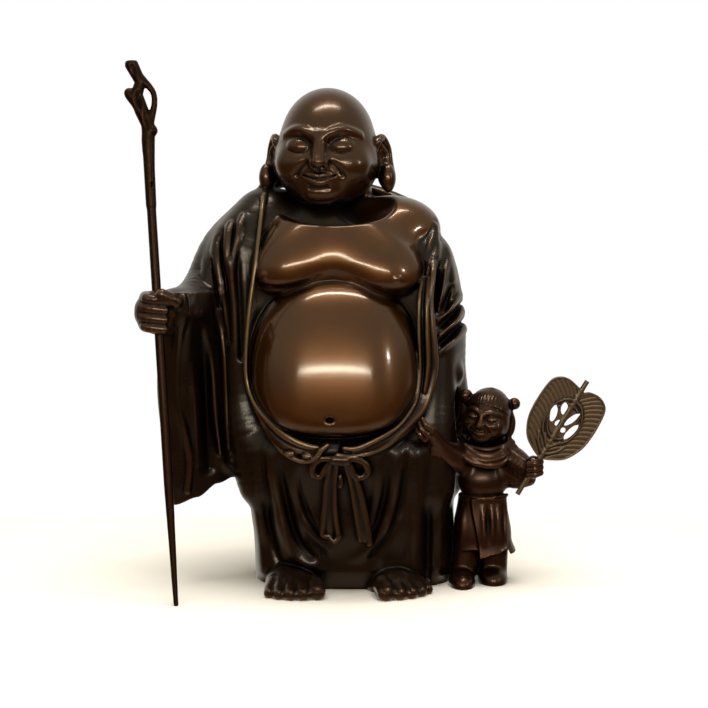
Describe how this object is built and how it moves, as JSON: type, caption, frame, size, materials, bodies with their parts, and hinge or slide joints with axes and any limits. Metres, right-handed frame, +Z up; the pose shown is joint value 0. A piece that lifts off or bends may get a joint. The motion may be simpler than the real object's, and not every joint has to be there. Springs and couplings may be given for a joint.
{
  "type": "budai bronze figure",
  "caption": "Cast bronze ornament of a standing Budai who holds a crooked staff, with a boy at his side who holds his robe and lifts a pierced leaf fan.",
  "frame": {"origin": "on the ground under the middle of Budai's robe, at the height of the soles and hem", "axes": "+Z up, -Y the way both figures face, +X the viewer's right, towards the boy"},
  "size_m": [0.3025, 0.1285, 0.3337],
  "materials": {
    "figure_bronze": "waxed dark brown patina, worn golden brown on the belly and chest",
    "boy_bronze": "waxed dark red-brown patina",
    "staff_bronze": "dark brown patina",
    "fan_bronze": "dull grey-brown, unpolished"
  },
  "bodies": {
    "root": {"budai": "figure_bronze", "boy": "boy_bronze", "staff": "staff_bronze", "leaf_fan": "fan_bronze"}
  },
  "joints": []
}
